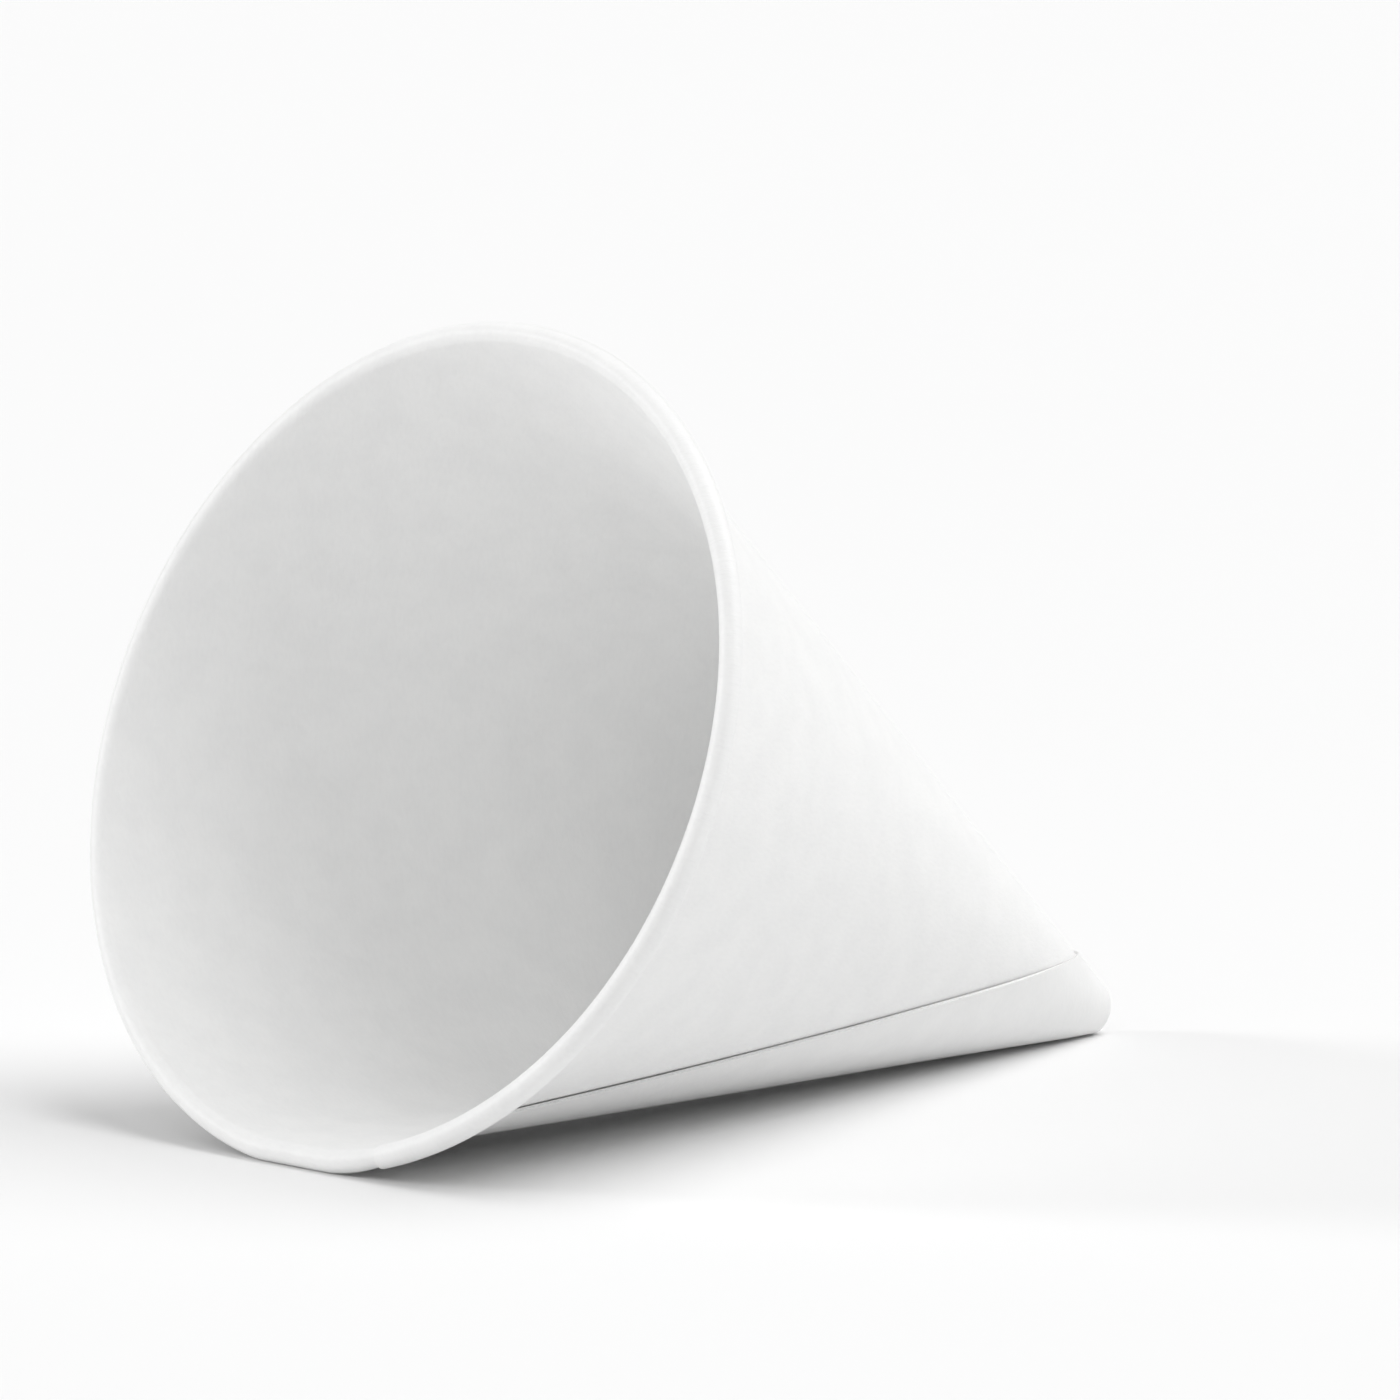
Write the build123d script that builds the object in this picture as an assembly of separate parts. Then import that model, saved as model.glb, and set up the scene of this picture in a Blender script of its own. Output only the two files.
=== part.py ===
"""Cone paper cup: one glued paper blank wound into a cone, with a rolled rim, lying on its side.

The cup is built upright in its own frame, with its axis along +Z and its tip at the bottom, and is
then laid down on the rolled rim and the tip. Millimetres and degrees throughout.
"""
from build123d import *
import math
import os

# ---- Driving dimensions ----
MOUTH_DIAMETER = 80.0       # across the outside of the rolled rim
CUP_HEIGHT = 95.0           # along the axis, from the tip to the top of the rolled rim
PAPER_THICKNESS = 0.28      # one layer of the cup stock
ROLL_DIAMETER = 2.2         # outside diameter of the rolled rim's bead
ROLL_GAP = 0.15             # free space between the turns of the roll
ROLL_LAP_ANGLE = 70.0       # how far the roll goes on past one full turn
TIP_RADIUS = 2.6            # outside radius of the rounded tip

# ---- Angles round the cup, seen into its mouth: 0 at +X, and -90 on the side it lies on ----
REST_ANGLE = -90.0          # the side the cup lies on
REST_WIDTH = 9.6            # width of rim pressed flat by lying on it

# ---- Glued overlap ----
DRAPE_ANGLE = -81.0         # where the outer layer leaves the wall to climb over the inner edge
INNER_EDGE_ANGLE = -74.5    # the inner layer's end edge, seen inside the cup
FLAP_RIM_ANGLE = -60.0      # where the outer layer's straight edge starts at the rim
FLAP_SIDE_HEIGHT = 18.8     # height above the tip at which that edge passes the +X side
FLAP_WRAP_ANGLE = 100.0     # how far round the tip the outer layer is wrapped
FLAP_WRAP_HEIGHT = 6.2      # height of the edge where the wrap ends
DRAPE_LIP = 0.02            # thickness at which the outer layer's drape begins

# ---- Sizes that follow from them ----
ROLL_RADIUS = ROLL_DIAMETER / 2
ROLL_CENTRE = (MOUTH_DIAMETER / 2 - ROLL_RADIUS, CUP_HEIGHT - ROLL_RADIUS)
TIP_CENTRE = (0.0, TIP_RADIUS)
TIP_TO_ROLL = math.dist(TIP_CENTRE, ROLL_CENTRE)
TIP_TO_ROLL_ANGLE = math.degrees(math.atan2(ROLL_CENTRE[0], ROLL_CENTRE[1] - TIP_RADIUS))


def cone_half_angle():
    """The wall passes outside the tip's inner round and inside the roll, tangent to both."""
    reach = TIP_RADIUS - PAPER_THICKNESS + ROLL_RADIUS
    return TIP_TO_ROLL_ANGLE - math.degrees(math.asin(reach / TIP_TO_ROLL))


HALF_ANGLE = cone_half_angle()
REST_HALF_ANGLE = math.degrees(math.asin(REST_WIDTH / MOUTH_DIAMETER))
ALONG_WALL = (math.sin(math.radians(HALF_ANGLE)), math.cos(math.radians(HALF_ANGLE)))
OUT_OF_WALL = (ALONG_WALL[1], -ALONG_WALL[0])


def lying_angle():
    """Slope of the axis over the floor when the pressed rim and the tip both touch it."""
    flattening = math.cos(math.radians(REST_HALF_ANGLE))
    across = MOUTH_DIAMETER / 2 * flattening - ROLL_RADIUS
    along = ROLL_CENTRE[1] - TIP_CENTRE[1]
    drop = math.asin((TIP_RADIUS - ROLL_RADIUS) / math.hypot(across, along))
    return math.degrees(math.atan2(across, along) - drop)


def beside(centre, distance):
    """The point at a distance from a centre, square to the wall and away from the cup's axis."""
    return (centre[0] + distance * OUT_OF_WALL[0], centre[1] + distance * OUT_OF_WALL[1])


def roll_face(start, first_radius, second_radius, lap_radius):
    """One face of the rim's roll: two half turns and the lap, curling outwards and down."""
    first = JernArc(start=start, tangent=ALONG_WALL, radius=first_radius, arc_size=-180)
    second = JernArc(start=first @ 1, tangent=first % 1, radius=second_radius, arc_size=-180)
    lap = JernArc(start=second @ 1, tangent=second % 1, radius=lap_radius, arc_size=-ROLL_LAP_ANGLE)
    return [first, second, lap]


def wound_section():
    """The paper's section on one side of the axis: closed tip, straight wall and rolled rim."""
    turn_step = PAPER_THICKNESS + ROLL_GAP
    outer_radii = (ROLL_RADIUS, ROLL_RADIUS - turn_step / 2, ROLL_RADIUS - turn_step)
    inner_radii = [radius - PAPER_THICKNESS for radius in outer_radii]
    inside_start = beside(ROLL_CENTRE, -ROLL_RADIUS)
    outside_start = beside(ROLL_CENTRE, PAPER_THICKNESS - ROLL_RADIUS)
    roll_outside = roll_face(inside_start, *outer_radii)
    roll_inside = roll_face(outside_start, *inner_radii)
    paper_end = Line(roll_inside[-1] @ 1, roll_outside[-1] @ 1)

    inner_radius = TIP_RADIUS - PAPER_THICKNESS
    tip_outside = CenterArc(TIP_CENTRE, TIP_RADIUS, -90, 90 - HALF_ANGLE)
    tip_inside = CenterArc(TIP_CENTRE, inner_radius, -90, 90 - HALF_ANGLE)
    wall_outside = Line(tip_outside @ 1, outside_start)
    wall_inside = Line(tip_inside @ 1, inside_start)
    axis_closing = Line(tip_outside @ 0, tip_inside @ 0)
    edges = [tip_outside, wall_outside, *roll_inside, paper_end, *roll_outside, wall_inside]
    return Plane.XZ * make_face(edges + [tip_inside, axis_closing])


def wall_strip(inner_offset, outer_offset):
    """Section of a strip along the straight wall, between two distances outside its inner face."""
    inside = PAPER_THICKNESS - TIP_RADIUS
    low_inner = beside(TIP_CENTRE, inner_offset - inside)
    low_outer = beside(TIP_CENTRE, outer_offset - inside)
    high_inner = beside(ROLL_CENTRE, inner_offset - ROLL_RADIUS)
    high_outer = beside(ROLL_CENTRE, outer_offset - ROLL_RADIUS)
    return Plane.XZ * make_face(Polyline(low_inner, low_outer, high_outer, high_inner, close=True))


def radial_plane(angle):
    """The plane through the cup's axis at an angle, facing on round the cup, anticlockwise."""
    return Plane(origin=(0, 0, 0), z_dir=Vector(0, 1, 0).rotate(Axis.Z, angle))


def turned(section, start_angle, end_angle):
    """Revolve a section about the cup's axis, anticlockwise from one angle to another."""
    return Rot(Z=start_angle) * revolve(section, Axis.Z, revolution_arc=end_angle - start_angle)


def pressed_flat(section):
    """Carry a section straight across the side the cup lies on, between two radial planes."""
    start = Rot(Z=REST_ANGLE - REST_HALF_ANGLE) * section
    across = Vector(0, 1, 0).rotate(Axis.Z, REST_ANGLE)
    straight = extrude(start, amount=REST_WIDTH + ROLL_DIAMETER, dir=across)
    return split(straight, bisect_by=radial_plane(REST_ANGLE + REST_HALF_ANGLE), keep=Keep.BOTTOM)


def drape_plane(lift):
    """Plane that touches the wall along one line, a lift outside its inner face, facing out."""
    touch = beside(TIP_CENTRE, TIP_RADIUS - PAPER_THICKNESS + lift)
    upright = Plane(origin=(touch[0], 0, touch[1]), z_dir=(OUT_OF_WALL[0], 0, OUT_OF_WALL[1]))
    return Plane(Rot(Z=DRAPE_ANGLE) * upright.location)


def on_wall(angle, height):
    """The point of the wall's outer face at an angle and a height above the tip."""
    tangent_point = beside(TIP_CENTRE, TIP_RADIUS)
    radius = tangent_point[0] + (height - tangent_point[1]) * math.tan(math.radians(HALF_ANGLE))
    return Vector(radius, 0, height).rotate(Axis.Z, angle)


def flap_edge_plane():
    """The plane of the blank's straight outer edge: from the rim, past the side, round the tip."""
    at_rim = on_wall(FLAP_RIM_ANGLE, ROLL_CENTRE[1])
    at_side = on_wall(0, FLAP_SIDE_HEIGHT)
    at_wrap = on_wall(FLAP_WRAP_ANGLE, FLAP_WRAP_HEIGHT)
    upwards = (at_side - at_rim).cross(at_wrap - at_rim)
    return Plane(origin=at_side, z_dir=upwards if upwards.Z > 0 else -upwards)


def flap_layer():
    """The blank's outer end, lapped over the wall: one soft drape, and one sharp straight edge."""
    strip = wall_strip(PAPER_THICKNESS / 2, 2 * PAPER_THICKNESS)
    layer = turned(strip, DRAPE_ANGLE, FLAP_WRAP_ANGLE)
    layer = split(layer, bisect_by=drape_plane(PAPER_THICKNESS + DRAPE_LIP), keep=Keep.BOTTOM)
    return split(layer, bisect_by=flap_edge_plane(), keep=Keep.BOTTOM)


def inner_edge_groove():
    """The wedge of air beside the inner layer's edge, where the outer layer climbs over it."""
    strip = wall_strip(-PAPER_THICKNESS / 2, PAPER_THICKNESS)
    wedge = turned(strip, DRAPE_ANGLE, INNER_EDGE_ANGLE)
    return split(wedge, bisect_by=drape_plane(0), keep=Keep.BOTTOM)


def upright_cup():
    """The wound and glued cup, standing on its tip with its mouth up."""
    section = wound_section()
    flat_end = REST_ANGLE + REST_HALF_ANGLE
    wound = turned(section, flat_end, flat_end + 360 - 2 * REST_HALF_ANGLE)
    glued = wound + flap_layer() - inner_edge_groove()
    return glued + pressed_flat(section)


def laid_down(cup):
    """The cup on its side: tip towards +Y, mouth facing -Y and up, centred over the origin."""
    lying = Rot(X=90 - lying_angle()) * cup
    box = lying.bounding_box()
    return Pos(-box.center().X, -box.center().Y, -box.min.Z) * lying


cone_cup = laid_down(upright_cup())

os.makedirs("parts", exist_ok=True)
export_step(cone_cup, "parts/cone_cup.step")
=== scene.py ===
"""Cone paper cup: one glued sheet of paper wound into a cone, lying on its rolled rim and its tip.

The sheet is wound upright, with the cone's axis along +Z and the tip at the origin, and is then laid
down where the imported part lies. Lengths are in metres and angles in degrees. Seen into the mouth,
angles run anticlockwise round the cup: 0 is at +X, and -90 is the side that the cup lies on.
"""
import logging
import math
from abc import ABC, abstractmethod
from dataclasses import dataclass, field
from enum import Enum
from typing import Union

import bmesh
import bpy
from bmesh.types import BMesh, BMFace, BMLayerItem, BMVert
from mathutils import Matrix, Vector, noise


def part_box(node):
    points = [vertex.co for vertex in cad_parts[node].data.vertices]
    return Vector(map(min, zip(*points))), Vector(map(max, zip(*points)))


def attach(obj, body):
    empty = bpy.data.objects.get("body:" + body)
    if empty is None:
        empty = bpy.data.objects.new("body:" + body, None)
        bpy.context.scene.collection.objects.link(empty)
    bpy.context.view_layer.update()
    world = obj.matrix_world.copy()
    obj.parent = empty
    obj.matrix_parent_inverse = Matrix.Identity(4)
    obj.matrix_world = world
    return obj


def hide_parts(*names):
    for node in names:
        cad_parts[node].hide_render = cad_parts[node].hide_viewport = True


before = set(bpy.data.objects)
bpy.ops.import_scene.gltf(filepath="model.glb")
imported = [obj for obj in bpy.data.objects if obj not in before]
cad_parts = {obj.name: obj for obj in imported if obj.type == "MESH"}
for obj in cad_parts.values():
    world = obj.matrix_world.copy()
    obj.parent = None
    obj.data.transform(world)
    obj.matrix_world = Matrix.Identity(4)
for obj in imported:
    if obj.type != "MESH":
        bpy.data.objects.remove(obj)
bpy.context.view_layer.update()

LOG = logging.getLogger("cone_paper_cup")
CUP_BODY = "root"
CUP_NODE = "cone_cup"
MM = 0.001
FULL_TURN = 360.0
HALF_TURN = 180.0
QUARTER_TURN = 90.0
UP_AXIS = (0.0, 0.0, 1.0)
SECTION_AXIS = (0.0, 1.0, 0.0)
ORIGIN = (0.0, 0.0, 0.0)
TINY = 1e-7
ON_AXIS = 0.01 * MM
MEETING = 0.05 * MM
MIDDLE_OF_PATTERN = 0.5
BLANK_MAP = "blank"
WINDING = "winding"
SLANT = "slant"
ROLLED = "rolled"
TO_FLAP_EDGE = "to_flap_edge"
FAR_FROM_EDGE = 99.0

Number = Union[float, "Wire"]
Span = tuple[float, float]
Triple = tuple[float, float, float]
Colour = tuple[float, float, float, float]
Paint = Union[Colour, bpy.types.NodeSocket]
WHITE: Colour = (1.0, 1.0, 1.0, 1.0)


class Face(Enum):
    """The two kinds of surface that paper shows, with the place of each in the material list."""

    PAPER = 0
    CUT_EDGE = 1


def smooth_step(value: float, low: float, high: float) -> float:
    """Ease from 0 at low to 1 at high.

    Args:
        value: The value to place between the two ends.
        low: Where the ramp leaves 0.
        high: Where the ramp reaches 1.

    Returns:
        The eased share, from 0 to 1.
    """
    share = min(1.0, max(0.0, (value - low) / (high - low)))
    return share * share * (3 - 2 * share)


def towards(azimuth: float, elevation: float) -> Vector:
    """The direction from the cup to a place seen at an azimuth and an elevation.

    Args:
        azimuth: Degrees round from -Y towards +X.
        elevation: Degrees above the table.

    Returns:
        A vector of length 1.
    """
    turn, rise = math.radians(azimuth), math.radians(elevation)
    return Vector((math.sin(turn) * math.cos(rise), -math.cos(turn) * math.cos(rise), math.sin(rise)))


def turned_round(angle: float) -> Matrix:
    """The turn about the cup's axis by an angle in degrees."""
    return Matrix.Rotation(math.radians(angle), 3, "Z")


def from_axis(place: Vector) -> float:
    """How far a place is from the upright cup's axis."""
    return math.hypot(place.x, place.y)


def put_in_scene(name: str, data: bpy.types.ID) -> bpy.types.Object:
    """Make an object of a mesh, light or camera and link it to the scene.

    Args:
        name: The object's name.
        data: What the object shows.

    Returns:
        The new object.
    """
    thing = bpy.data.objects.new(name, data)
    bpy.context.scene.collection.objects.link(thing)
    return thing


def finished_piece(name: str, bm: BMesh) -> bpy.types.Object:
    """Make a piece of a finished mesh.

    Args:
        name: The piece's name.
        bm: Its mesh, which is freed here.

    Returns:
        The piece, with its place in its mesh.
    """
    mesh = bpy.data.meshes.new(name)
    bm.to_mesh(mesh)
    bm.free()
    return put_in_scene(name, mesh)


@dataclass(frozen=True)
class Cloud:
    """A cloudy pattern: its clouds to one unit, its finer layers and how strongly those show."""

    scale: float
    detail: float
    roughness: float


class Wire:
    """A number that runs through a node tree, so that masks add and multiply as plain arithmetic."""

    def __init__(self, sketch: "Sketch", socket: bpy.types.NodeSocket) -> None:
        """Hold the output socket that carries the number, and the sketch it belongs to."""
        self.sketch = sketch
        self.socket = socket

    def __add__(self, other: Number) -> "Wire":
        """Add a number or another wire."""
        return self.sketch.arithmetic("ADD", self, other)

    def __radd__(self, other: Number) -> "Wire":
        """Add this wire to a number."""
        return self.sketch.arithmetic("ADD", other, self)

    def __sub__(self, other: Number) -> "Wire":
        """Take a number or another wire away."""
        return self.sketch.arithmetic("SUBTRACT", self, other)

    def __rsub__(self, other: Number) -> "Wire":
        """Take this wire away from a number."""
        return self.sketch.arithmetic("SUBTRACT", other, self)

    def __mul__(self, other: Number) -> "Wire":
        """Multiply by a number or another wire."""
        return self.sketch.arithmetic("MULTIPLY", self, other)

    def __rmul__(self, other: Number) -> "Wire":
        """Multiply a number by this wire."""
        return self.sketch.arithmetic("MULTIPLY", other, self)

    def ramp(self, low: float, high: float) -> "Wire":
        """Ease the wire from 0 at low to 1 at high, or the other way where low is above high.

        Args:
            low: Where the eased wire is 0.
            high: Where it is 1.

        Returns:
            The eased wire.
        """
        settings = {"interpolation_type": "SMOOTHSTEP"}
        first, last = (0.0, 1.0) if low < high else (1.0, 0.0)
        node = self.sketch.add("ShaderNodeMapRange", settings, {
            "Value": self,
            "From Min": min(low, high),
            "From Max": max(low, high),
            "To Min": first,
            "To Max": last,
        })
        return Wire(self.sketch, node.outputs["Result"])


class Sketch:
    """The node tree of a finish or of the studio's surroundings, drawn node by node."""

    MIX_SHARE = 0
    MIX_FIRST_COLOUR = 6
    MIX_SECOND_COLOUR = 7
    MIX_COLOUR_RESULT = 2

    def __init__(self, tree: bpy.types.NodeTree) -> None:
        """Start from an empty tree."""
        self.tree = tree
        self.tree.nodes.clear()

    def add(self, kind: str, settings: dict, sockets: dict) -> bpy.types.Node:
        """Add one node, with its settings made before its sockets are filled.

        Args:
            kind: The node's type.
            settings: The node's properties by name.
            sockets: A value, wire or output socket for each input, by its name or place.

        Returns:
            The new node.
        """
        node = self.tree.nodes.new(kind)
        for name, value in settings.items():
            setattr(node, name, value)
        for key, value in sockets.items():
            source = value.socket if isinstance(value, Wire) else value
            if isinstance(source, bpy.types.NodeSocket):
                self.tree.links.new(source, node.inputs[key])
            else:
                node.inputs[key].default_value = source
        return node

    def arithmetic(self, operation: str, left: Number, right: Number) -> Wire:
        """Join two numbers by a Math node."""
        node = self.add("ShaderNodeMath", {"operation": operation}, {0: left, 1: right})
        return Wire(self, node.outputs[0])

    def mix(self, share: Number, first: Paint, second: Paint) -> bpy.types.NodeSocket:
        """Mix two colours.

        Args:
            share: How much of the second one shows.
            first: The colour at a share of 0.
            second: The colour at a share of 1.

        Returns:
            The mixed colour's socket.
        """
        node = self.add("ShaderNodeMix", {"data_type": "RGBA"}, {
            self.MIX_SHARE: share,
            self.MIX_FIRST_COLOUR: first,
            self.MIX_SECOND_COLOUR: second,
        })
        return node.outputs[self.MIX_COLOUR_RESULT]

    def attribute(self, name: str) -> Wire:
        """Read a number that the piece's mesh holds at its vertices."""
        node = self.add("ShaderNodeAttribute", {"attribute_name": name}, {})
        return Wire(self, node.outputs["Fac"])

    def own_place(self) -> bpy.types.NodeSocket:
        """The piece's own coordinates, in metres."""
        return self.add("ShaderNodeTexCoord", {}, {}).outputs["Object"]

    def noise(self, place: Union[Wire, bpy.types.NodeSocket], cloud: Cloud) -> Wire:
        """Draw a cloudy pattern from 0 to 1.

        Args:
            place: The coordinates that it follows, or the one number.
            cloud: How fine it is and how its layers show.

        Returns:
            The pattern.
        """
        one_number = isinstance(place, Wire)
        node = self.add("ShaderNodeTexNoise", {"noise_dimensions": "1D" if one_number else "3D"}, {
            "W" if one_number else "Vector": place,
            "Scale": cloud.scale,
            "Detail": cloud.detail,
            "Roughness": cloud.roughness,
        })
        return Wire(self, node.outputs["Fac"])

    def stretched(self, place: bpy.types.NodeSocket, scale: Triple, turn: float) -> bpy.types.NodeSocket:
        """Scale and turn coordinates, so that a pattern runs long in one direction."""
        sockets = {"Vector": place, "Scale": scale, "Rotation": (0.0, 0.0, math.radians(turn))}
        return self.add("ShaderNodeMapping", {}, sockets).outputs["Vector"]

    def bumped(self, height: Wire) -> bpy.types.NodeSocket:
        """The surface's normal with a height on it, where 1 stands a millimetre proud."""
        sockets = {"Height": height, "Distance": MM, "Strength": 1.0}
        return self.add("ShaderNodeBump", {}, sockets).outputs["Normal"]


@dataclass(frozen=True)
class Finish(ABC):
    """What a surface is made of, drawn as a material."""

    name: str

    def material(self) -> bpy.types.Material:
        """Draw the finish.

        Returns:
            The material.
        """
        material = bpy.data.materials.new(self.name)
        material.use_nodes = True
        sketch = Sketch(material.node_tree)
        shader = sketch.add("ShaderNodeBsdfPrincipled", {}, self.surface(sketch))
        sketch.add("ShaderNodeOutputMaterial", {}, {"Surface": shader.outputs["BSDF"]})
        return material

    @abstractmethod
    def surface(self, sketch: Sketch) -> dict:
        """What goes into the shader's sockets, by their names."""


@dataclass(frozen=True)
class PaperFinish(Finish):
    """White uncoated cup stock, whose fibres lie mostly one way across the blank.

    Patterns and heights on it are in millimetres of the flat blank.
    """

    name: str = "cup_stock"
    light: Colour = (0.905, 0.905, 0.9, 1.0)
    dense: Colour = (0.858, 0.859, 0.857, 1.0)
    pressed: Colour = (0.85, 0.85, 0.843, 1.0)
    pressed_share: float = 0.35
    pressed_strip: Span = (2.4, 0.2)
    blank_size: float = 100.6
    grain_turn: float = 24.0
    grain_draw: float = 2.6
    clouds: Cloud = Cloud(scale=0.22, detail=2.0, roughness=0.55)
    felt: Cloud = Cloud(scale=1.1, detail=2.0, roughness=0.65)
    fibre: Cloud = Cloud(scale=3.4, detail=3.0, roughness=0.75)
    creases: Cloud = Cloud(scale=1.0, detail=3.0, roughness=0.65)
    creases_per_degree: float = 0.55
    clouds_show: Span = (0.3, 0.7)
    felt_shows: Span = (0.35, 0.75)
    cloud_colour_share: float = 0.5
    felt_colour_share: float = 0.35
    cloud_height: float = 0.05
    felt_height: float = 0.032
    fibre_height: float = 0.014
    crease_height: float = 0.05
    roughness: float = 0.62
    felt_roughness: float = 0.16
    pressed_gloss: float = 0.06
    rolled_gloss: float = 0.2
    specular: float = 0.32

    def surface(self, sketch: Sketch) -> dict:
        """Draw the paper from the blank's own map and the numbers that the sheet holds.

        Args:
            sketch: The node tree to draw in.

        Returns:
            What goes into the shader's sockets, by their names.
        """
        flat = sketch.add("ShaderNodeUVMap", {"uv_map": BLANK_MAP}, {}).outputs["UV"]
        blank = sketch.stretched(flat, (self.blank_size,) * 3, 0.0)
        grain = sketch.stretched(blank, (1.0, self.grain_draw, 1.0), self.grain_turn)
        clouds = sketch.noise(blank, self.clouds)
        felt = sketch.noise(grain, self.felt)
        fibre = sketch.noise(grain, self.fibre)
        creases = sketch.noise(sketch.attribute(WINDING) * self.creases_per_degree, self.creases)
        rolled = sketch.attribute(ROLLED)
        pressed = sketch.attribute(TO_FLAP_EDGE).ramp(*self.pressed_strip)

        formation = clouds.ramp(*self.clouds_show) * self.cloud_colour_share
        formation = formation + felt.ramp(*self.felt_shows) * self.felt_colour_share
        mottled = sketch.mix(formation, self.light, self.dense)
        height = fibre * self.fibre_height + felt * self.felt_height + clouds * self.cloud_height
        height = height + rolled * creases * self.crease_height
        roughness = self.roughness + (felt - MIDDLE_OF_PATTERN) * self.felt_roughness
        return {
            "Base Color": sketch.mix(pressed * self.pressed_share, mottled, self.pressed),
            "Roughness": roughness - pressed * self.pressed_gloss - rolled * self.rolled_gloss,
            "Normal": sketch.bumped(height),
            "Specular IOR Level": self.specular,
        }


@dataclass(frozen=True)
class CutEdgeFinish(Finish):
    """The paper's raw cut edge: a little darker and furrier than its face."""

    name: str = "cut_edge"
    light: Colour = (0.85, 0.849, 0.842, 1.0)
    dark: Colour = (0.74, 0.739, 0.73, 1.0)
    fur: Cloud = Cloud(scale=5200.0, detail=3.0, roughness=0.7)
    fur_shows: Span = (0.35, 0.7)
    fur_height: float = 0.04
    roughness: float = 0.9

    def surface(self, sketch: Sketch) -> dict:
        """Draw the edge's short fur.

        Args:
            sketch: The node tree to draw in.

        Returns:
            What goes into the shader's sockets, by their names.
        """
        fur = sketch.noise(sketch.own_place(), self.fur)
        return {
            "Base Color": sketch.mix(fur.ramp(*self.fur_shows), self.light, self.dark),
            "Roughness": self.roughness,
            "Normal": sketch.bumped(fur * self.fur_height),
        }


@dataclass(frozen=True)
class FloorFinish(Finish):
    """A plain pale tabletop."""

    name: str = "pale_table"
    light: Colour = (0.86, 0.86, 0.86, 1.0)
    shade: Colour = (0.8471, 0.8471, 0.8471, 1.0)
    clouds: Cloud = Cloud(scale=3.0, detail=2.0, roughness=0.5)
    roughness: float = 0.8
    specular: float = 0.1

    def surface(self, sketch: Sketch) -> dict:
        """Draw the tabletop, with hardly any clouds in it.

        Args:
            sketch: The node tree to draw in.

        Returns:
            What goes into the shader's sockets, by their names.
        """
        clouds = sketch.noise(sketch.own_place(), self.clouds)
        return {
            "Base Color": sketch.mix(clouds, self.light, self.shade),
            "Roughness": self.roughness,
            "Specular IOR Level": self.specular,
        }


@dataclass(frozen=True)
class Wave:
    """A wave in the wall: how often it comes round the cup and up it, its start and its depth."""

    round_cup: float
    up_cup: float
    start: float
    depth: float

    def at(self, angle: float, up: float) -> float:
        """The wave's depth at an angle in radians and a share of the cup's height."""
        place = Vector((math.cos(angle), math.sin(angle), 0.0)) * self.round_cup
        return noise.noise(place + Vector((0.0, 0.0, up * self.up_cup + self.start))) * self.depth


@dataclass(frozen=True)
class Unevenness:
    """How a wound wall strays from a true cone: waves, a slightly oval mouth and a pinched tip.

    Heights are shares of the cup's height.
    """

    wave_height: float = 0.16 * MM
    mean_wave: float = 0.5
    waves: tuple[Wave, Wave] = (
        Wave(round_cup=1.6, up_cup=0.9, start=3.1, depth=0.9),
        Wave(round_cup=4.2, up_cup=1.4, start=7.7, depth=0.35),
    )
    wave_grows: Span = (0.0, 0.35)
    rim_stiffness: float = 0.65
    rim_stiffens: Span = (0.9, 0.99)
    off_rest: Span = (7.0, 26.0)
    oval_share: float = 0.0022
    oval_grows: Span = (0.2, 1.0)
    pinch_share: float = 0.10
    pinch_fades: Span = (0.0, 0.07)

    def wave_depth(self, angle: float, up: float, off_rest: float) -> float:
        """How far in the waves carry the wall.

        Args:
            angle: The angle round the cup, in radians.
            up: The height as a share of the cup's.
            off_rest: How many degrees round the cup it is from the side that the cup lies on.

        Returns:
            The depth, from 0 up.
        """
        stiff = 1 - self.rim_stiffness * smooth_step(up, *self.rim_stiffens)
        depth = self.mean_wave + sum(wave.at(angle, up) for wave in self.waves)
        depth *= stiff * smooth_step(off_rest, *self.off_rest)
        return self.wave_height * max(0.0, depth) * smooth_step(up, *self.wave_grows)

    def squeeze(self, angle: float, up: float) -> float:
        """How far in the oval and the pinch carry the wall, as a share of its radius.

        Args:
            angle: The angle round the cup, in radians.
            up: The height as a share of the cup's.

        Returns:
            The share, just over 0.
        """
        sideways = math.cos(angle) ** 2
        oval = self.oval_share * smooth_step(up, *self.oval_grows)
        pinch = self.pinch_share * (1 - smooth_step(up, *self.pinch_fades))
        return sideways * (oval + pinch)


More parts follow.
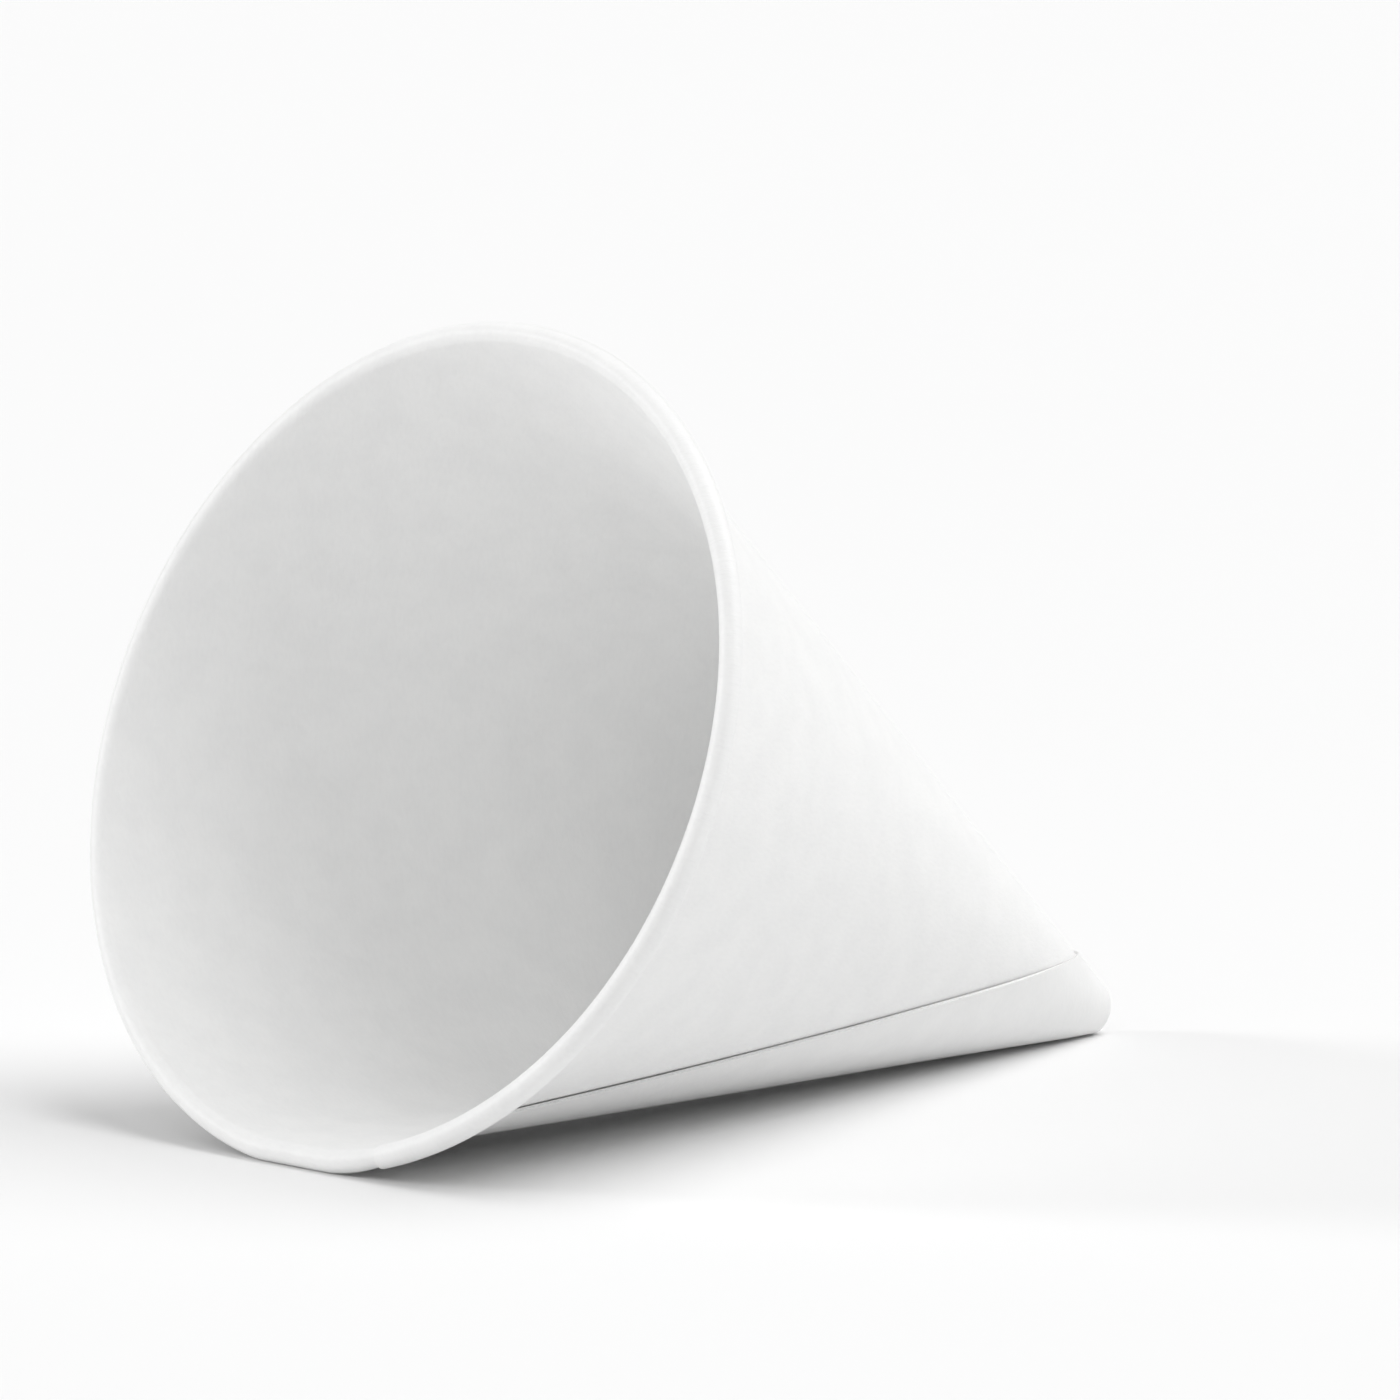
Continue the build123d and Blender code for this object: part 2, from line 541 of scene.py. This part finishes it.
@dataclass
class WoundSheet:
    """The cup's one sheet of paper: closed tip, straight wall, rolled rim and glued overlap.

    The rest fields say how it is pressed flat where it lies, and rest_reach is in radians. The drape and
    ply fields say how the outer ply climbs over the inner one, the flap fields where its straight edge
    runs, and the edge_lift fields how that edge stands off the wall.
    """

    mouth_radius: float
    back: float
    floor: float
    height: float = 95.0 * MM
    thickness: float = 0.28 * MM
    roll_radius: float = 1.1 * MM
    roll_gap: float = 0.3 * MM
    roll_lap: float = 70.0
    tip_radius: float = 2.6 * MM
    rest_angle: float = -90.0
    rest_width: float = 9.6 * MM
    rest_softness: float = 0.0006
    rest_reach: float = 1.0
    drape_angle: float = -81.0
    drape_end: float = 60.0
    inner_end_skew: float = 32.0
    flap_rim_angle: float = -60.0
    flap_side_height: float = 18.8 * MM
    flap_wrap_angle: float = 100.0
    flap_wrap_height: float = 6.2 * MM
    ply_gap: float = 0.015 * MM
    ply_thins_below: float = 2.2 * MM
    ply_turns_in_roll: float = 0.8
    edge_lift: float = 0.18 * MM
    edge_lift_reach: float = 3.0 * MM
    edge_lift_grows: Span = (6.0 * MM, 22.0 * MM)
    edge_lift_mean: float = 0.85
    edge_lift_swing: float = 0.3
    edge_lift_swings_per_metre: float = 60.0
    roll_begins: Span = (-0.4 * MM, 0.5 * MM)
    unevenness: Unevenness = Unevenness()
    sharp_angle: float = 50.0
    sharp_sides: int = 2
    turn_step: float = 1.5
    wall_steps: int = 44
    half_turn_steps: int = 12
    tip_steps: int = 9
    bm: BMesh = field(default_factory=bmesh.new, repr=False)

    @property
    def roll_centre(self) -> Vector:
        """The middle of the rim's roll, in the section at angle 0."""
        return Vector((self.mouth_radius - self.roll_radius, 0.0, self.height - self.roll_radius))

    @property
    def tip_centre(self) -> Vector:
        """The middle of the tip's round."""
        return Vector((0.0, 0.0, self.tip_radius))

    @property
    def tip_place(self) -> Vector:
        """Where the middle of the tip's round goes when the cup is laid down."""
        return Vector((0.0, self.back - self.tip_radius, self.floor + self.tip_radius))

    @property
    def half_angle(self) -> float:
        """The wall's slope to the axis.

        Returns:
            The angle, in radians, at which the wall is tangent to the tip's round and to the roll.
        """
        apart = self.roll_centre - self.tip_centre
        reach = self.tip_radius - self.thickness + self.roll_radius
        return math.atan2(apart.x, apart.z) - math.asin(reach / apart.length)

    @property
    def slant_height(self) -> float:
        """The way along the wall from its sharp apex to the mouth's height."""
        return self.height / math.cos(self.half_angle)

    @property
    def rest_half_angle(self) -> float:
        """Half the angle, in radians, of the rim that is pressed flat by lying on it."""
        return math.asin(self.rest_width / 2 / self.mouth_radius)

    @property
    def lying_angle(self) -> float:
        """The axis's slope over the floor.

        Returns:
            The angle, in radians, at which the rim and the tip both lie on the floor.
        """
        across = self.mouth_radius * math.cos(self.rest_half_angle) - self.roll_radius
        along = self.height - self.roll_radius - self.tip_radius
        drop = math.asin((self.tip_radius - self.roll_radius) / math.hypot(across, along))
        return math.atan2(across, along) - drop

    @property
    def out_of_wall(self) -> Vector:
        """The direction square to the wall and away from the axis, in the section at angle 0."""
        return Vector((math.cos(self.half_angle), 0.0, -math.sin(self.half_angle)))

    @property
    def ply_lift(self) -> float:
        """How far the outer ply's inner face stands off the inner ply's."""
        return self.thickness + self.ply_gap

    @property
    def first_angle(self) -> float:
        """Where the sheet's inner end stands at the rim: where the outer ply has climbed over it."""
        return self.inner_end(self.mouth_radius)

    def inner_end(self, radius: float) -> float:
        """The inner end's angle at a radius, where the outer ply, draped flat, clears the inner one."""
        return self.drape_angle + math.degrees(math.acos(radius / (radius + self.ply_lift)))

    def numbers(self, name: str) -> BMLayerItem:
        """The numbers of one name that the mesh's vertices hold."""
        return self.bm.verts.layers.float[name]

    def build(self) -> bpy.types.Object:
        """Model the whole sheet and lay it down.

        Returns:
            The cup, with its place in its mesh.
        """
        for name in (WINDING, SLANT, ROLLED, TO_FLAP_EDGE):
            self.bm.verts.layers.float.new(name)
        self.draw_section()
        self.wind()
        self.map_blank()
        self.skew_inner_end()
        self.lap_outer_ply()
        self.cut_flap()
        self.lift_flap_edge()
        self.close_tip()
        self.soften()
        self.thicken()
        self.lay_down()
        return finished_piece("paper_cup", self.bm)

    def draw_section(self) -> None:
        """Draw the section of the sheet's inner face, from the tip to the end of the roll."""
        slant, rolled = self.numbers(SLANT), self.numbers(ROLLED)
        tip = self.bm.verts.new((0.0, 0.0, self.thickness))
        tangent = math.degrees(self.half_angle) - QUARTER_TURN
        low = self.arc(tip, self.tip_centre, tangent, self.tip_steps)
        high = self.roll_centre - self.out_of_wall * self.roll_radius
        vert = self.straight(low, high, self.wall_steps)
        self.measure(tip)
        roll_start = vert[slant]
        turn = self.thickness + self.roll_gap
        roll = (
            (self.roll_radius, HALF_TURN),
            (self.roll_radius - turn / 2, HALF_TURN),
            (self.roll_radius - turn, self.roll_lap),
        )
        side = -1.0
        for radius, degrees in roll:
            steps = max(1, round(self.half_turn_steps * degrees / HALF_TURN))
            vert = self.arc(vert, vert.co - self.out_of_wall * radius * side, degrees, steps)
            side = -side
        self.measure(tip)
        for vert in self.bm.verts:
            vert[rolled] = smooth_step(vert[slant] - roll_start, *self.roll_begins)

    def arc(self, vert: BMVert, centre: Vector, degrees: float, steps: int) -> BMVert:
        """Carry the section on round a centre.

        Args:
            vert: The section's last vertex.
            centre: The arc's middle.
            degrees: How far it goes round, clockwise in the section.
            steps: How many straight runs stand for it.

        Returns:
            The section's new last vertex.
        """
        spun = bmesh.ops.spin(self.bm, geom=[vert], cent=centre, axis=SECTION_AXIS,
                              angle=math.radians(degrees), steps=steps)
        return next(part for part in spun["geom_last"] if isinstance(part, BMVert))

    def straight(self, vert: BMVert, end: Vector, steps: int) -> BMVert:
        """Carry the section on along a straight run, in equal steps.

        Args:
            vert: The section's last vertex.
            end: Where the run ends.
            steps: How many steps it takes.

        Returns:
            The section's new last vertex.
        """
        step = (end - vert.co) / steps
        for _ in range(steps):
            vert = bmesh.ops.extrude_vert_indiv(self.bm, verts=[vert])["verts"][0]
            bmesh.ops.translate(self.bm, verts=[vert], vec=step)
        return vert

    def measure(self, tip: BMVert) -> None:
        """Write on each vertex of the section its way along the sheet from the wall's sharp apex.

        Args:
            tip: The section's first vertex.
        """
        slant = self.numbers(SLANT)
        inner_radius = self.tip_radius - self.thickness
        flat_way = inner_radius / math.tan(self.half_angle)
        arc_way = inner_radius * (math.pi / 2 - self.half_angle)
        tip[slant] = flat_way - arc_way
        before, here = None, tip
        while here is not None:
            ahead = [edge.other_vert(here) for edge in here.link_edges]
            after = next((vert for vert in ahead if vert is not before), None)
            if after is not None:
                after[slant] = here[slant] + (after.co - here.co).length
            before, here = here, after

    def wind(self) -> None:
        """Wind the section round the axis, once round and on over itself to the end of the wrap."""
        winding = self.numbers(WINDING)
        whole = self.flap_wrap_angle + FULL_TURN - self.first_angle
        steps = round(whole / self.turn_step)
        step = whole / steps
        bmesh.ops.rotate(self.bm, verts=self.bm.verts[:], cent=ORIGIN,
                         matrix=turned_round(self.first_angle))
        column = len(self.bm.verts)
        bmesh.ops.spin(self.bm, geom=[*self.bm.verts, *self.bm.edges], cent=ORIGIN, axis=UP_AXIS,
                       angle=math.radians(whole), steps=steps)
        for place, vert in enumerate(self.bm.verts):
            vert[winding] = self.first_angle + place // column * step
        bmesh.ops.recalc_face_normals(self.bm, faces=self.bm.faces[:])
        outwards = sum(face.normal.xy.dot(face.calc_center_median().xy) for face in self.bm.faces)
        if outwards < 0:
            bmesh.ops.reverse_faces(self.bm, faces=self.bm.faces[:])

    def map_blank(self) -> None:
        """Map every face to its place on the flat blank that the sheet was cut as."""
        winding, slant = self.numbers(WINDING), self.numbers(SLANT)
        blank = self.bm.loops.layers.uv.new(BLANK_MAP)
        turn_on_blank = math.sin(self.half_angle)
        whole = self.slant_height
        for face in self.bm.faces:
            for loop in face.loops:
                turn = math.radians(loop.vert[winding]) * turn_on_blank
                way = loop.vert[slant] / whole
                loop[blank].uv = (way * math.cos(turn), way * math.sin(turn))

    def skew_inner_end(self) -> None:
        """Turn the inner end on round the cup near the tip, where the drape needs more room."""
        winding = self.numbers(WINDING)
        for vert in self.bm.verts:
            past = vert[winding] - self.first_angle
            if past < self.inner_end_skew:
                radius = max(self.tip_radius, from_axis(vert.co))
                extra = (self.inner_end(radius) - self.first_angle) * (1 - past / self.inner_end_skew)
                vert.co.rotate(turned_round(extra))
                vert[winding] += extra

    def lap_outer_ply(self) -> None:
        """Lift the outer ply: flat off the wall, then one ply up, and not at all on the axis."""
        winding = self.numbers(WINDING)
        self.bm.normal_update()
        moves = []
        for vert in self.bm.verts:
            past = vert[winding] - FULL_TURN - self.drape_angle
            if past > 0.0:
                radius = from_axis(vert.co)
                flat = radius * (1 / math.cos(math.radians(min(past, self.drape_end))) - 1)
                lift = min(self.ply_lift, flat) * smooth_step(radius, 0.0, self.ply_thins_below)
                moves.append((vert, vert.normal * lift))
        self.move(moves)

    def move(self, moves: list[tuple[BMVert, Vector]]) -> None:
        """Move vertices, once all their normals have been read."""
        for vert, way in moves:
            vert.co += way

    def on_wall(self, angle: float, height: float) -> Vector:
        """The point of the wall's outer face at an angle and a height.

        Args:
            angle: The angle round the cup.
            height: The height above the tip.

        Returns:
            The point.
        """
        touch = self.tip_centre + self.out_of_wall * self.tip_radius
        radius = touch.x + (height - touch.z) * math.tan(self.half_angle)
        return turned_round(angle) @ Vector((radius, 0.0, height))

    def flap_plane(self) -> tuple[Vector, Vector]:
        """The plane of the sheet's straight outer edge.

        Returns:
            A point of the plane, and its normal towards the rim.
        """
        at_rim = self.on_wall(self.flap_rim_angle, self.roll_centre.z)
        at_side = self.on_wall(0.0, self.flap_side_height)
        at_wrap = self.on_wall(self.flap_wrap_angle, self.flap_wrap_height)
        normal = (at_side - at_rim).cross(at_wrap - at_rim).normalized()
        return at_side, normal if normal.z > 0 else -normal

    def outer_faces(self) -> list[BMFace]:
        """Find the outer ply.

        Returns:
            The faces of the sheet that lie over the sheet's own inner end.
        """
        winding = self.numbers(WINDING)
        start = FULL_TURN + self.first_angle - self.turn_step / 2
        return [face for face in self.bm.faces if min(vert[winding] for vert in face.verts) > start]

    def cut_flap(self) -> None:
        """Cut the outer ply along its straight edge, and clear it from inside the roll."""
        slant = self.numbers(SLANT)
        rolled_way = self.slant_height + math.tau * self.roll_radius * self.ply_turns_in_roll
        spare = [face for face in self.outer_faces()
                 if min(vert[slant] for vert in face.verts) > rolled_way]
        bmesh.ops.delete(self.bm, geom=spare, context="FACES")
        faces = self.outer_faces()
        edges = {edge for face in faces for edge in face.edges}
        verts = {vert for face in faces for vert in face.verts}
        point, normal = self.flap_plane()
        bmesh.ops.bisect_plane(self.bm, geom=[*faces, *edges, *verts], dist=TINY, plane_co=point,
                               plane_no=normal, clear_outer=True)

    def lift_flap_edge(self) -> None:
        """Let the cut edge stand a hair off the wall, a little more in some places than others."""
        distance, winding = self.numbers(TO_FLAP_EDGE), self.numbers(WINDING)
        start = FULL_TURN + self.first_angle
        point, normal = self.flap_plane()
        self.bm.normal_update()
        moves = []
        for vert in self.bm.verts:
            vert[distance] = FAR_FROM_EDGE
            if vert[winding] > start:
                way = (point - vert.co).dot(normal)
                vert[distance] = way / MM
                if way < self.edge_lift_reach:
                    moves.append((vert, vert.normal * self.lift_at(vert, max(0.0, way))))
        self.move(moves)

    def lift_at(self, vert: BMVert, way: float) -> float:
        """How far the flap stands off the wall near its cut edge.

        Args:
            vert: A vertex of the flap.
            way: How far it is from the cut edge.

        Returns:
            The lift.
        """
        share = (1 - way / self.edge_lift_reach) ** 2 * (1 - vert[self.numbers(ROLLED)])
        share *= smooth_step(vert.co.z, *self.edge_lift_grows)
        swing = self.edge_lift_swing * noise.noise(vert.co * self.edge_lift_swings_per_metre)
        return self.edge_lift * share * (self.edge_lift_mean + swing)

    def close_tip(self) -> None:
        """Join the ends of the section that meet on the axis."""
        poles = [vert for vert in self.bm.verts if from_axis(vert.co) < ON_AXIS]
        bmesh.ops.remove_doubles(self.bm, verts=poles, dist=MEETING)
        bmesh.ops.dissolve_degenerate(self.bm, edges=self.bm.edges[:], dist=TINY)

    def soften(self) -> None:
        """Give the cup the slight unevenness of wound paper, and press it flat where it lies."""
        for vert in self.bm.verts:
            if from_axis(vert.co) > TINY:
                angle = math.atan2(vert.co.y, vert.co.x)
                share = self.evenness(angle, vert.co.z) * self.rest_share(angle)
                vert.co.x *= share
                vert.co.y *= share

    def evenness(self, angle: float, height: float) -> float:
        """How far in the wall stands at a place, as a share of its radius.

        Args:
            angle: The angle round the cup, in radians.
            height: The height above the tip.

        Returns:
            A share just under 1.
        """
        up = height / self.height
        off_rest = abs(math.degrees(angle) - self.rest_angle)
        radius = max(self.tip_radius, height * math.tan(self.half_angle))
        depth = self.unevenness.wave_depth(angle, up, off_rest)
        return 1 - self.unevenness.squeeze(angle, up) - depth / radius

    def rest_share(self, angle: float) -> float:
        """How far in the pressed flat carries the wall, as a share of its radius.

        Args:
            angle: The angle round the cup, in radians.

        Returns:
            1 away from the flat, and a share just under 1 on it.
        """
        off = angle - math.radians(self.rest_angle)
        off = math.atan2(math.sin(off), math.cos(off))
        if abs(off) > self.rest_reach:
            return 1.0
        flat = math.cos(self.rest_half_angle) / math.cos(off)
        return (1 + flat) / 2 - math.hypot((1 - flat) / 2, self.rest_softness)

    def thicken(self) -> None:
        """Give the sheet its thickness, outwards from its inner face, and mark its cut edges."""
        bmesh.ops.recalc_face_normals(self.bm, faces=self.bm.faces[:])
        self.bm.normal_update()
        bmesh.ops.solidify(self.bm, geom=self.bm.faces[:], thickness=self.thickness)
        self.bm.normal_update()
        limit = math.radians(self.sharp_angle)
        sharp = {edge for edge in self.bm.edges if edge.calc_face_angle(0.0) > limit}
        for face in self.bm.faces:
            face.smooth = True
            if sum(edge in sharp for edge in face.edges) >= self.sharp_sides:
                face.material_index = Face.CUT_EDGE.value
        for edge in sharp:
            edge.smooth = False

    def lay_down(self) -> None:
        """Turn the cup onto its side and carry its tip to its place."""
        turn = Matrix.Rotation(math.pi / 2 - self.lying_angle, 4, "X")
        place = Matrix.Translation(self.tip_place - turn @ self.tip_centre)
        bmesh.ops.transform(self.bm, matrix=place @ turn, verts=self.bm.verts[:])

    def dress(self, cup: bpy.types.Object) -> None:
        """Give the cup its paper and its raw edge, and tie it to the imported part.

        Args:
            cup: The piece that build returned.
        """
        finishes = {Face.PAPER: PaperFinish(), Face.CUT_EDGE: CutEdgeFinish()}
        for face in Face:
            cup.data.materials.append(finishes[face].material())
        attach(cup, CUP_BODY)
        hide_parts(CUP_NODE)


@dataclass
class Table:
    """The pale surface that the cup lies on."""

    height: float
    half_width: float = 6.0
    squares: int = 8

    def build(self) -> bpy.types.Object:
        """Model the surface.

        Returns:
            The table.
        """
        bm = bmesh.new()
        bmesh.ops.create_grid(bm, x_segments=self.squares, y_segments=self.squares,
                              size=self.half_width)
        bmesh.ops.translate(bm, verts=bm.verts[:], vec=(0.0, 0.0, self.height))
        return finished_piece("table", bm)

    def dress(self, table: bpy.types.Object) -> None:
        """Give the surface its finish."""
        table.data.materials.append(FloorFinish().material())


@dataclass(frozen=True)
class SoftSun:
    """A broad soft light that is even over the whole table."""

    name: str
    azimuth: float
    elevation: float
    strength: float
    spread: float

    def build(self) -> bpy.types.Object:
        """Hang the light, shining from its azimuth and elevation towards the cup.

        Returns:
            The lamp.
        """
        light = bpy.data.lights.new(self.name, "SUN")
        light.energy = self.strength
        light.angle = math.radians(self.spread)
        lamp = put_in_scene(self.name, light)
        lamp.rotation_mode = "QUATERNION"
        lamp.rotation_quaternion = towards(self.azimuth, self.elevation).to_track_quat("Z", "Y")
        return lamp


@dataclass(frozen=True)
class Studio:
    """The light round the cup: three soft suns, a bright band at the horizon and a softer sky."""

    suns: tuple[SoftSun, ...] = (
        SoftSun("overhead", azimuth=138.0, elevation=62.0, strength=1.95, spread=52.0),
        SoftSun("rim_light", azimuth=-50.0, elevation=17.0, strength=1.0, spread=18.0),
        SoftSun("mouth_fill", azimuth=22.0, elevation=46.0, strength=0.31, spread=40.0),
    )
    sky: float = 0.44
    horizon: float = 1.0
    band_top: float = 0.05
    band_full: float = 0.02

    def build(self) -> None:
        """Hang the suns and draw the sky's brightness by direction."""
        for sun in self.suns:
            LOG.info("%s light", sun.build().name)
        world = bpy.data.worlds.new("studio")
        world.use_nodes = True
        bpy.context.scene.world = world
        sketch = Sketch(world.node_tree)
        direction = sketch.add("ShaderNodeTexCoord", {}, {}).outputs["Generated"]
        parts = sketch.add("ShaderNodeSeparateXYZ", {}, {"Vector": direction})
        low = Wire(sketch, parts.outputs["Z"]).ramp(self.band_top, self.band_full)
        sockets = {"Color": WHITE, "Strength": self.sky + low * (self.horizon - self.sky)}
        shine = sketch.add("ShaderNodeBackground", {}, sockets)
        sketch.add("ShaderNodeOutputWorld", {}, {"Surface": shine.outputs["Background"]})


@dataclass
class ViewCamera:
    """The camera, far off with a long lens, looking into the mouth and along one side."""

    target: Vector
    azimuth: float = 46.4
    elevation: float = 9.5
    lens: float = 800.0
    sensor: float = 36.0
    frame_width: float = 128.0 * MM
    nearest_share: float = 0.1
    farthest_share: float = 20.0

    def build(self) -> bpy.types.Object:
        """Set up the camera.

        Returns:
            The camera, which is the scene's own.
        """
        data = bpy.data.cameras.new("view")
        data.lens = self.lens
        data.sensor_width = self.sensor
        data.dof.use_dof = False
        back = towards(self.azimuth, self.elevation)
        distance = self.frame_width * self.lens / self.sensor
        data.clip_start = self.nearest_share * distance
        data.clip_end = self.farthest_share * distance
        camera = put_in_scene("view", data)
        camera.location = self.target + back * distance
        camera.rotation_mode = "QUATERNION"
        camera.rotation_quaternion = back.to_track_quat("Z", "Y")
        bpy.context.scene.camera = camera
        return camera


def set_tone() -> None:
    """Show whites as they are, with no film curve over them."""
    view = bpy.context.scene.view_settings
    view.view_transform = "Standard"
    view.look = "None"
    view.exposure = 0.0
    view.gamma = 1.0


def report(piece: bpy.types.Object) -> None:
    """Report a finished piece and its number of faces."""
    LOG.info("%s: %d faces", piece.name, len(piece.data.polygons))


def main() -> None:
    """Build the cup, then the studio round it, and report each piece."""
    logging.basicConfig(level=logging.INFO)
    low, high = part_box(CUP_NODE)
    sheet = WoundSheet(mouth_radius=(high.x - low.x) / 2, back=high.y, floor=low.z)
    cup = sheet.build()
    sheet.dress(cup)
    report(cup)
    table = Table(height=low.z)
    surface = table.build()
    table.dress(surface)
    report(surface)
    Studio().build()
    ViewCamera(target=(low + high) / 2).build()
    set_tone()


if __name__ == "__main__":
    main()
